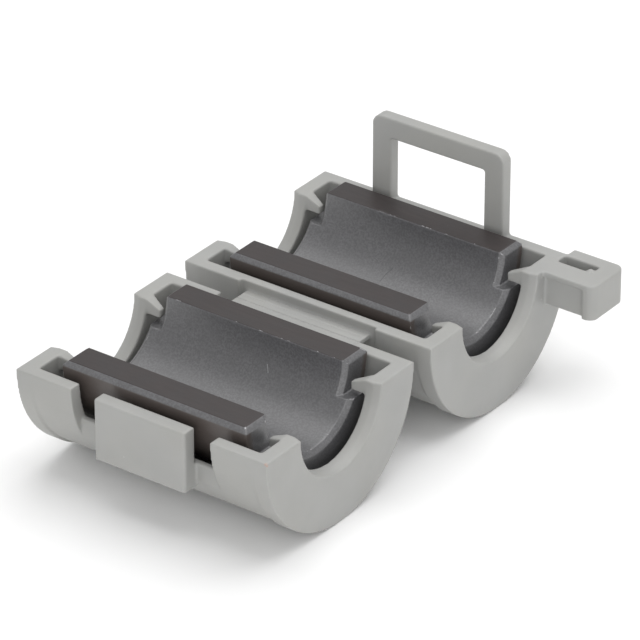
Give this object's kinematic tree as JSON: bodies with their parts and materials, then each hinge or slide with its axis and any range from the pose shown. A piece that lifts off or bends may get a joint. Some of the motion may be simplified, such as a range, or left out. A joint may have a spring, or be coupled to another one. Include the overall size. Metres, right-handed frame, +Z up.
{
  "type": "clip on ferrite bead",
  "caption": "Split ferrite cable core in a hinged snap case with a latch loop and a cable tie lug, lying open with both cable seats up.",
  "frame": {"origin": "on the cable axis of the latch half's core, at mid-length, in the plane of its ground face", "axes": "+X along the cable axis towards the tie lug, +Y from the catch half to the latch half, +Z up out of the open seats"},
  "size_m": [0.0382, 0.0545, 0.0228],
  "materials": {
    "case_plastic": "moulded light grey nylon, satin, with soft edges",
    "ferrite": "sintered dark grey ceramic, ground smooth on the rails and grainy in the bore"
  },
  "bodies": {
    "rear_half": {"rear_shell": "case_plastic"},
    "latch": {"latch_loop": "case_plastic"},
    "strap": {"hinge_strap": "case_plastic"},
    "front_half": {"front_shell": "case_plastic"},
    "rear_insert": {"rear_core": "ferrite"},
    "front_insert": {"front_core": "ferrite"}
  },
  "joints": [
    {"name": "shell_fold", "type": "hinge", "parent": "rear_half", "child": "strap", "pos_m": [0, -0.0125, -0.00265], "axis": [-1, 0, 0], "range_deg": [0, 90]},
    {"name": "strap_fold", "type": "hinge", "parent": "strap", "child": "front_half", "pos_m": [0, -0.0155, -0.00265], "axis": [-1, 0, 0], "range_deg": [0, 90]},
    {"name": "latch_flex", "type": "hinge", "parent": "rear_half", "child": "latch", "pos_m": [0, 0.01175, -0.0013], "axis": [-1, 0, 0], "range_deg": [0, 16], "stiffness_Nm_per_rad": 0.05},
    {"name": "rear_core_seat", "type": "slide", "parent": "rear_half", "child": "rear_insert", "axis": [0, 0, -1], "range_m": [0, 0.00116], "stiffness_N_per_m": 1500},
    {"name": "front_core_seat", "type": "slide", "parent": "front_half", "child": "front_insert", "axis": [0, 0, -1], "range_m": [0, 0.00116], "stiffness_N_per_m": 1500}
  ]
}
